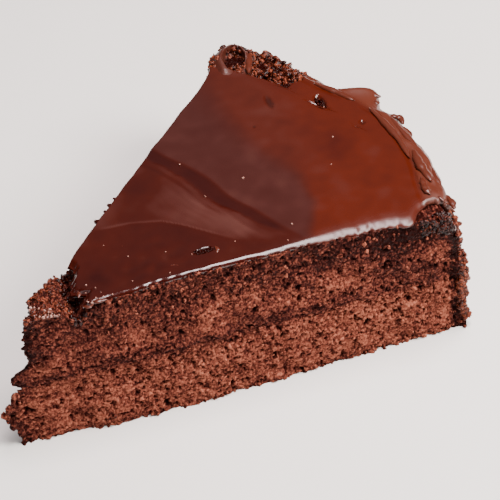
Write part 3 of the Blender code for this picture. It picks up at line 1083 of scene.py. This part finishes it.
def scattered(name, groups):
    """Crumbs at groups of places, each group with its range of radii and its tone."""
    centres = np.concatenate([points for points, _, _ in groups])
    radii = np.concatenate([chance.uniform(*sizes, len(points)) for points, sizes, _ in groups])
    tones = np.concatenate([chance.normal(tone, TONE_SPREAD, len(points)) for points, _, tone in groups])
    return crumbs(name, centres, radii, tones)


def stuck_crumbs(lower, upper):
    """Crumbs that cling to the cut faces, along the foot, at the tip and at the corners."""
    low_points, high_points = lower["points"], upper["points"]
    low_cuts, high_cuts = lower["front"] | lower["rear"], upper["front"] | upper["rear"]
    foot = (lower["height"] < 0.9) & (low_cuts | lower["tip"])
    low_tip = lower["tip"] & (lower["height"] < 18.0)
    edge = upper["front"] & (upper["height"] > 34.0)
    groups = [
        (picked(low_points[foot], 240), (0.30, 0.75), 0.2),
        (picked(low_points[low_cuts], 420), (0.28, 0.62), 0.4),
        (picked(low_points[low_tip], 90), (0.4, 1.0), -0.4),
        (picked(high_points[high_cuts], 330), (0.26, 0.55), 0.2),
        (picked(high_points[edge], 110), (0.3, 0.6), -0.9),
        # The crumb in the glaze's holes is toned very dark: painted shade
        (pit_crumbs(), (0.3, 0.5), -2.6),
    ]
    return scattered("stuck_crumbs", groups)


def wet_crumbs(upper, torn_points, bowl_points, wall_edge):
    """Sticky broken crumb where the glaze has come away: the tip, the rear and the front corner."""
    points, x, y = upper["points"], upper["x"], upper["y"]
    stub = upper["top"] & (x < 16.0)
    crevice = upper["top"] & (abs(x - CREVICE_AT) < 2.0) & (y > 1.2)
    corner = upper["front"] & (x > 110.0) & (upper["height"] > 35.0)
    corner = corner | (upper["top"] & (x > 108.0) & (y < 5.0))
    groups = [
        (picked(points[stub], 300), (0.2, 0.55), 0.0),
        # The crumbs in the crevice are toned dark: painted shade
        (picked(points[crevice], 60), (0.4, 0.9), -1.8),
        (picked(points[corner], 170), (0.25, 0.85), -1.5),
        (picked(torn_points, 620), (0.2, 0.55), -0.6),
        (picked(torn_points, 40), (0.8, 1.4), -0.8),
        (picked(bowl_points, 70), (0.2, 0.6), -0.3),
        (picked(wall_edge, 210), (0.3, 0.9), 0.0),
    ]
    return scattered("wet_crumbs", groups)


# The torn rear corner: rows from the poured top over the rim, columns round to the rear cut
TORN_ROWS = 84
TORN_COLUMNS = 128
TORN_WALL_ROWS = 96
TORN_DEPTH = 3.0
TORN_RISE = 1.6
TORN_SINK = 3.6
TORN_LENGTH = 9.5
TORN_FIRST = CUT_ANGLE - CORNER_BREAK - 0.03
TORN_LAST = CUT_ANGLE + 0.004
TORN_BEND = INNER_BEND + 1.0
TORN_TOP = 39.0
TORN_FOOT = 17.0
TORN_CLODS = ((2.0, 2.5, 1.4), (0.9, 1.0, 5.2))
TORN_WAVE = (1.0, 3.4, 8.3)
TORN_WALL_CLODS = ((1.2, 2.3, 4.6), (0.8, 0.9, 7.3))
TORN_WALL_WAVE = (0.7, 3.2, 6.4)
# The bowl in its end: middle in plan, radius and depth
BOWL = (84.9, 85.2, 4.2, 3.4)
# The lip of glaze round the bowl: half sizes across and away, and its grid
LIP_ACROSS = 3.5
LIP_AWAY = 5.4
LIP_SIDE = (0.967, -0.254)
LIP_ROWS = 40
LIP_COLUMNS = 96
LIP_RISES = np.array([1.3, 1.6, 1.8, 1.9, 1.7, 0.7, 0.0, 0.2, 1.3])


def by_rear_cut(radius, angle, height):
    """Places in plan that follow the rear cut's unevenness the more the nearer they are to it."""
    return moved_out(*plan(radius, angle), rear_shift(radius, height) * (angle / CUT_ANGLE) ** 2)


def torn_top(angle):
    """The torn corner's upper face, the relief of its points with painted shade in the bowl, and which of
    them are crumb and bowl.
    """
    row = np.linspace(0.0, 1.0, TORN_ROWS)[:, None]
    crest = rim_radius(angle) - SHOULDER
    bend = smooth(row, 0.55, 1.0) * 0.37 * math.pi
    radius = mix(crest - TORN_LENGTH, crest, np.minimum(row / 0.62, 1.0)) + TORN_BEND * np.sin(bend)
    low = mix(GLAZE_START, RIM_FRONT, (radius - GLAZE_START) / (crest - GLAZE_START))
    inside = (np.radians(torn_turn(low)) - (CUT_ANGLE - angle)) * radius
    rise = smooth(inside, -0.8, 1.6)
    height = top_height(*plan(radius, angle)) - GLAZE + TORN_RISE + TORN_BEND * (np.cos(bend) - 1.0)
    x, y = by_rear_cut(radius, angle, height)
    bowl_x, bowl_y, bowl_wide, bowl_deep = BOWL
    from_bowl = np.hypot(x - bowl_x, y - bowl_y)
    rough = crags(x, y, TORN_CLODS, TORN_WAVE)
    height = height - TORN_SINK * (1.0 - rise) + rough * rise
    height = height + 0.9 * hump(from_bowl, bowl_wide, 1.2) * rise
    sunk = fade(from_bowl, 0.35 * bowl_wide, bowl_wide)
    height = height - bowl_deep * sunk
    # The bowl's inside gets a lower depth value, which the crumb material paints as shade
    return x, y, height, rough / 1.1 - 0.9 * sunk, (rise > 0.8) & (sunk < 0.2), sunk > 0.85


def torn_wall(angle):
    """The torn corner's outer face, and the relief of its points."""
    level = np.linspace(TORN_TOP, TORN_FOOT, TORN_WALL_ROWS)[:, None]
    arc = angle * RIM_FRONT
    bare = smooth(arc - (CUT_ANGLE - CORNER_BREAK * broken(level)) * RIM_FRONT, -0.6, 1.2)
    rough = crags(arc, level, TORN_WALL_CLODS, TORN_WALL_WAVE)
    wall = rim_radius(angle) - GLAZE + 0.5 + (0.8 + rough) * bare
    x, y = by_rear_cut(wall, angle, level)
    return x, y, np.broadcast_to(level, wall.shape), rough / 0.9


def torn_corner():
    """The rear corner where the glaze tore off: craggy wet crumb with a bowl in its end."""
    angle = np.linspace(TORN_FIRST, TORN_LAST, TORN_COLUMNS)[None, :]
    *top, bare, pit = torn_top(angle)
    x, y, height, depth = [np.concatenate(rows) for rows in zip(top, torn_wall(angle))]
    inward = np.repeat([0.0, TORN_DEPTH], [TORN_ROWS, TORN_WALL_ROWS])[:, None]
    outer = in_place(x, y, height)
    inner = in_place(x - inward * np.cos(angle), y - inward * np.sin(angle), height - TORN_DEPTH + inward)
    number = np.arange(x.size).reshape(x.shape)
    under = number + x.size
    faces = quads(number, False) + quads(under, True)
    for line, other in ((number[0], under[0]), (number[:, -1], under[:, -1])):
        faces += quads(np.stack([line, other], 1), False)
    for line, other in ((number[-1], under[-1]), (number[:, 0], under[:, 0])):
        faces += quads(np.stack([line, other], 1), True)
    points = np.concatenate([outer.reshape(-1, 3), inner.reshape(-1, 3)])
    values = {"depth": np.tile(depth.ravel(), 2), "tone": np.full(2 * x.size, 0.2)}
    crumb_places, bowl_places = outer[:TORN_ROWS][bare], outer[:TORN_ROWS][pit]
    return mesh_piece("torn_corner", points, faces, values), crumb_places, bowl_places


def bowl_lip():
    """The lump of glaze round the bowl: a low, uneven ring that runs out into the top."""
    turn = np.linspace(0.0, 2.0 * math.pi, LIP_COLUMNS, endpoint=False)[None, :]
    row = np.linspace(0.0, 1.0, LIP_ROWS)[:, None]
    reach = mix(0.74, 2.0, row**1.3)
    side, far = np.cos(turn), np.sin(turn)
    uneven = 1.0 + 0.10 * wander(side, far, 0.5, 4.1)
    across = LIP_ACROSS * side * mix(reach, 1.0 + 0.6 * (reach - 1.0), smooth(side, 0.2, 0.9))
    away = LIP_AWAY * far * mix(reach, 1.0 + 0.45 * (reach - 1.0), smooth(far, -0.2, 0.6))
    x = BOWL[0] + uneven * (across * LIP_SIDE[0] - away * LIP_SIDE[1])
    y = BOWL[1] + uneven * (across * LIP_SIDE[1] + away * LIP_SIDE[0])
    rises = np.interp(turn, np.linspace(0.0, 2.0 * math.pi, len(LIP_RISES)), LIP_RISES)
    steep = 1.0 - ((1.0 - reach) / 0.17) ** 2
    gentle = 0.5 + 0.5 * np.cos(math.pi * np.minimum(reach - 1.0, 1.0))
    profile = np.where(reach < 1.0, steep, gentle)
    height = top_height(x, y) + (rises + 0.5) * profile - 0.5
    height = height + 0.35 * wander(x, y, 2.6, 7.7) + 0.06 * wander(x, y, 0.9, 2.1)
    beyond = y * math.cos(CUT_ANGLE) - x * math.sin(CUT_ANGLE) - rear_shift(np.hypot(x, y), height)
    over = np.maximum(beyond - 0.4, 0.0)
    x, y = moved_out(x, y, -over)
    height = height - 1.5 * over
    points = in_place(x, y, height).reshape(-1, 3)
    number = np.arange(x.size).reshape(x.shape)
    faces = tube_quads(number, True)
    values = {
        "lit_warmth": np.full(x.size, 0.2),
        "cool_sheen": np.full(x.size, 0.5),
        "band": np.full(x.size, 0.5),
        "edge": np.full(x.size, 1.0),
        "shade": (0.3 + 0.3 * wander(x, y, 2.0, 3.9)).ravel(),
    }
    return mesh_piece("bowl_lip", points, faces, values)


# Smears of glaze: half width, then places along the rim as degrees and inset from the wall
RIM_SMEARS = (
    (1.1, 0.2, ((24.0, 4.0), (20.5, 5.4), (16.5, 5.2), (12.5, 5.8))),
    (1.0, 0.3, ((22.0, 1.8), (18.5, 3.0), (15.0, 2.0), (12.0, 2.9))),
    (1.3, 0.3, ((14.0, 3.4), (10.5, 4.4), (7.0, 3.6))),
    (1.0, 0.2, ((11.0, 1.0), (8.0, 1.9), (5.0, 1.2))),
    (1.0, 0.3, ((8.4, 5.8), (6.0, 6.2), (4.6, 5.4))),
    (1.3, 0.8, ((28.6, 1.4), (27.4, -0.6), (26.2, -2.6), (25.2, -3.2))),
    (1.0, 0.6, ((25.8, 1.6), (25.0, 0.2), (24.6, -1.4))),
    (1.0, 0.5, ((21.8, 1.0), (20.6, -0.8), (19.4, 0.2))),
    (0.8, 0.4, ((19.0, 2.0), (17.8, 0.6), (16.8, 0.8))),
    (0.6, 0.1, ((4.2, 3.6), (3.5, 2.6), (3.0, 1.0))),
    (0.9, 0.0, ((5.2, 0.6), (3.6, -0.2), (2.2, 0.0))),
    (1.0, 0.1, ((33.0, 4.4), (29.5, 3.4), (26.5, 4.0))),
)
# The same for smears given in plan
TOP_SMEARS = (
    (1.1, 0.5, ((90.6, 87.4), (88.6, 82.4), (86.8, 77.0))),
    (0.6, -0.4, ((20.4, 3.4), (22.4, 1.6), (25.2, 1.3))),
    (0.5, -0.5, ((18.8, 1.4), (20.2, 0.4), (21.6, 1.2))),
    (0.6, -0.9, ((18.6, 5.2), (19.4, 7.4), (18.8, 9.6))),
    (0.60, 0.00, ((8.2, 1.6), (9.4, 0.9), (10.8, 0.4))),
    (0.45, -0.25, ((10.2, 1.2), (11.2, 0.6), (12.4, 0.5))),
    (0.45, 0.05, ((9.0, 2.9), (10.2, 2.3), (11.4, 2.5))),
    (0.40, 0.10, ((5.4, 3.4), (6.2, 2.6), (7.4, 2.6))),
    (0.40, 0.00, ((5.6, 6.6), (6.4, 5.6), (7.4, 5.2))),
    (0.50, 0.0, ((55.8, 6.6), (56.5, 7.6), (56.2, 9.2))),
    (0.22, -0.08, ((33.4, 16.6), (34.0, 18.4), (33.6, 20.4))),
    (0.25, -0.12, ((37.0, 9.6), (39.4, 9.4), (41.6, 8.2))),
    (0.28, -0.14, ((42.4, 6.4), (44.6, 6.2), (46.4, 4.8))),
)
# Lumps on the glaze's rear edge: their direction, stops and depth, then half width and place in plan
LUMP_RUN = (0.676, 0.737)
LUMP_STOPS = (-0.7, 0.0, 0.7)
LUMP_SINK = 0.55
REAR_LUMPS = (
    (1.30, 30.6, 30.3),
    (0.75, 33.4, 33.3),
    (1.00, 35.2, 35.4),
    (0.65, 37.0, 37.5),
)
SMEAR_STEPS = 26
SMEAR_SIDES = 12
SMEAR_FLATNESS = 0.55


def smear(path, half_width, seed):
    """One rounded, uneven strand of glaze along a path of points, closed at its ends."""
    share = np.linspace(0.0, len(path) - 1.0, SMEAR_STEPS)
    line = np.stack([np.interp(share, np.arange(len(path)), path[:, axis]) for axis in range(3)], -1)
    for _ in range(3):
        line[1:-1] = 0.25 * line[:-2] + 0.5 * line[1:-1] + 0.25 * line[2:]
    run = np.gradient(line, axis=0)
    run /= np.linalg.norm(run, axis=1, keepdims=True)
    side = np.cross(run, (0.0, 0.0, 1.0))
    side /= np.linalg.norm(side, axis=1, keepdims=True)
    upward = np.cross(side, run)
    swell = np.sqrt(np.clip(np.sin(np.linspace(0.02, math.pi - 0.02, SMEAR_STEPS)), 0.0, 1.0))
    swell = swell * (1.0 + 0.35 * wander(np.arange(SMEAR_STEPS) / 4.0, 0.0, 1.0, seed))
    turn = np.linspace(0.0, 2.0 * math.pi, SMEAR_SIDES, endpoint=False)
    ring = side[:, None] * np.cos(turn)[:, None] + SMEAR_FLATNESS * upward[:, None] * np.sin(turn)[:, None]
    return line[:, None] + ring * (half_width * swell)[:, None, None]


def smears():
    """Strands and folds of glaze on the rim, round the torn corner and at the tip."""
    strands = []
    for number, (half_width, lift, stops) in enumerate(RIM_SMEARS):
        turn = np.radians([stop[0] for stop in stops])
        inset = np.array([stop[1] for stop in stops])
        radius = rim_radius(turn) - inset
        past_crest = np.clip(SHOULDER - inset, 0.0, None)
        drop = SHOULDER - np.sqrt(np.clip(SHOULDER**2 - past_crest**2, 0.0, None))
        x, y = plan(radius, turn)
        path = np.stack([x, y, top_height(x, y) - np.minimum(drop, 2.4) + lift], -1)
        strands.append(smear(path, half_width, number + 0.3))
    for number, (half_width, lift, stops) in enumerate(TOP_SMEARS):
        x, y = np.array(stops).T
        path = np.stack([x, y, shown_height(x, y) + lift], -1)
        strands.append(smear(path, half_width, number + 20.7))
    count = len(strands)
    for half_width, x, y in REAR_LUMPS:
        x, y = np.array([x, y])[:, None] + np.outer(LUMP_RUN, LUMP_STOPS) * half_width
        path = np.stack([x, y, top_height(x, y) - LUMP_SINK * half_width], -1)
        strands.append(smear(path, half_width, 40.7))
    faces = []
    for number in range(len(strands)):
        sheet = np.arange(SMEAR_STEPS * SMEAR_SIDES).reshape(SMEAR_STEPS, SMEAR_SIDES)
        sheet = sheet + number * sheet.size
        faces += tube_quads(sheet, True)
        faces += [sheet[0].tolist(), sheet[-1][::-1].tolist()]
    points = in_place(*np.stack(strands).reshape(-1, 3).T)
    lump = np.arange(len(points)) >= count * SMEAR_STEPS * SMEAR_SIDES
    values = {
        "lit_warmth": np.where(lump, 0.2, 0.6),
        "band": np.where(lump, 0.0, 0.8),
        "shade": np.where(lump, 0.7, 0.0),
    }
    return mesh_piece("smears", points, faces, values)


# Bubbles in the glaze, in plan
BUBBLES = (
    (42.5, 3.7), (61.6, 9.1), (49.7, 8.3), (34.2, 14.0), (24.3, 4.0), (57.0, 44.3), (59.5, 29.0),
    (71.2, 32.7), (32.9, 4.7), (77.4, 10.3), (74.5, 4.7), (43.7, 11.9), (29.4, 20.4), (95.2, 30.4),
    (99.6, 41.5), (102.1, 61.2), (101.7, 55.2), (9.1, 2.0), (10.6, 3.0), (11.2, 0.4), (12.4, 0.6),
    (7.6, 1.6), (6.4, 6.8), (5.8, 5.6), (9.8, 1.2), (10.8, 1.4), (9.3, 0.6), (8.4, 0.9),
    (7.2, 6.2), (8.1, 5.0), (10.1, 2.2), (11.8, 0.2), (9.3, 3.2), (10.4, 0.6), (9.0, 1.5),
    (20.3, 2.0), (21.2, 1.2), (23.4, 1.9), (24.5, 2.3), (22.6, 2.6), (23.4, 6.1), (26.8, 2.1),
    (20.6, 5.3), (21.4, 8.0),
)


def bubbles():
    """Small bubbles that stand in the glaze and catch the light, their pale colour a painted glint."""
    x, y = np.array(BUBBLES).T
    on_crumb = x < CREVICE_AT
    centres = in_place(x, y, shown_height(x, y) + on_crumb * 0.15)
    radii = chance.uniform(0.16, 0.34, len(x)) * np.where(on_crumb, 1.5, 1.0)
    return crumbs("bubbles", centres, radii, np.ones(len(x)), 0.06)


def dress(piece, material, node=None):
    """Gives a piece its material and lets it ride with the slice, in place of its solid if it has one."""
    piece.data.materials.append(material)
    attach(piece, "root")
    if node:
        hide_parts(node)


def aim(item, side, upward, back, distance):
    """Sets an object at a distance from the slice's middle, facing it."""
    turn = Matrix((side, upward, back)).transposed().to_4x4()
    item.matrix_world = Matrix.Translation(CAMERA_TARGET + back * distance) @ turn


def camera():
    """The camera, at the photograph's viewing angle."""
    data = bpy.data.cameras.new("camera")
    data.lens = CAMERA_LENS
    data.sensor_width = CAMERA_SENSOR
    data.clip_start = CAMERA_NEAR
    aside, ahead = math.sin(CAMERA_AZIMUTH), math.cos(CAMERA_AZIMUTH)
    level = math.cos(CAMERA_ELEVATION)
    back = Vector((aside * level, -ahead * level, math.sin(CAMERA_ELEVATION)))
    right = Vector((ahead, aside, 0.0))
    upward = back.cross(right)
    side = right * math.cos(CAMERA_ROLL) + upward * math.sin(CAMERA_ROLL)
    upward = upward * math.cos(CAMERA_ROLL) - right * math.sin(CAMERA_ROLL)
    eye = placed("camera", data)
    aim(eye, side, upward, back, CAMERA_DISTANCE)
    bpy.context.scene.camera = eye


def area_light(name, direction, distance, size, long_way, watts, colour):
    """A soft rectangle of light that faces the slice, its long side turned towards long_way."""
    data = bpy.data.lights.new(name, "AREA")
    data.shape = "RECTANGLE"
    data.size, data.size_y = size
    data.energy = watts
    data.color = colour
    back = Vector(direction).normalized()
    side = Vector(long_way) - back * back.dot(Vector(long_way))
    side.normalize()
    aim(placed(name, data), side, back.cross(side), back, distance)


# The sky, then the lights: name, direction, distance and size in metres, long way, watts and colour
SKY_COLOUR = (0.88, 0.92, 1.0, 1.0)
SKY_STRENGTH = 0.10
LIGHTS = (
    ("key", (0.36, -0.58, 0.74), 0.62, (0.28, 0.28), (1.0, 0.0, 0.0), 7.8, (1.0, 0.96, 0.91)),
    ("strip", (0.201, -0.098, 0.975), 0.9, (0.5, 0.30), (0.403, 0.915, 0.0), 16.8, (1.0, 0.87, 0.87)),
    ("card", (0.27, 0.65, 0.71), 1.5, (1.3, 0.9), (0.784, -0.621, 0.0), 0.5, (0.93, 0.96, 1.0)),
    ("fill", (-0.85, -0.25, 0.50), 1.2, (0.8, 0.6), (0.0, 1.0, 0.0), 3.0, (0.95, 0.97, 1.0)),
)


def lights():
    """A dim sky and soft studio lights."""
    world = bpy.data.worlds.new("studio")
    world.use_nodes = True
    sky = world.node_tree.nodes["Background"]
    sky.inputs["Color"].default_value = SKY_COLOUR
    sky.inputs["Strength"].default_value = SKY_STRENGTH
    bpy.context.scene.world = world
    for light in LIGHTS:
        area_light(*light)


def floor():
    """The plain pale floor."""
    mesh = bpy.data.meshes.new("floor")
    sheet = bmesh.new()
    bmesh.ops.create_grid(sheet, x_segments=4, y_segments=4, size=FLOOR_HALF)
    sheet.to_mesh(mesh)
    sheet.free()
    mesh.materials.append(floor_material())
    placed("floor", mesh)


# How open each layer's crumb is, how far it runs into its neighbour, and how dry each crumb is
LOWER_OPENNESS = 1.15
FILLING_OPENNESS = 0.8
UPPER_OPENNESS = 0.52
OVERLAP = 0.3
DRY = 0.84
SOAKED = 0.80
SOAKED_LIFT = -0.03
WET = 0.46


def build():
    """Makes every piece, then the floor, the lights and the camera."""
    crumb = crumb_material("crumb", CRUMB_STOPS, 0.0, DRY)
    soaked = crumb_material("soaked_crumb", CRUMB_STOPS, SOAKED_LIFT, SOAKED)
    wet = crumb_material("wet_crumb", WET_STOPS, 0.0, WET)
    lower, lower_places = layer("lower_crumb", 0.0, LOWER_TOP + OVERLAP, LOWER_OPENNESS)
    dress(lower, crumb, "lower_sponge")
    filling, _ = layer("filling", FILLING_BOTTOM - OVERLAP, FILLING_TOP + OVERLAP, FILLING_OPENNESS)
    dress(filling, soaked, "jam_filling")
    upper, upper_places = layer("upper_crumb", UPPER_BOTTOM - OVERLAP, None, UPPER_OPENNESS)
    dress(upper, crumb, "upper_sponge")
    skin = glaze_material()
    skin_piece, wall_edge = glaze()
    dress(skin_piece, skin, "chocolate_glaze")
    corner, corner_points, bowl_points = torn_corner()
    dress(corner, wet)
    dress(stuck_crumbs(lower_places, upper_places), crumb)
    dress(bowl_lip(), skin)
    dress(wet_crumbs(upper_places, corner_points, bowl_points, wall_edge), wet)
    dress(smears(), skin)
    dress(bubbles(), bubble_glint_material())
    floor()
    lights()
    camera()


build()
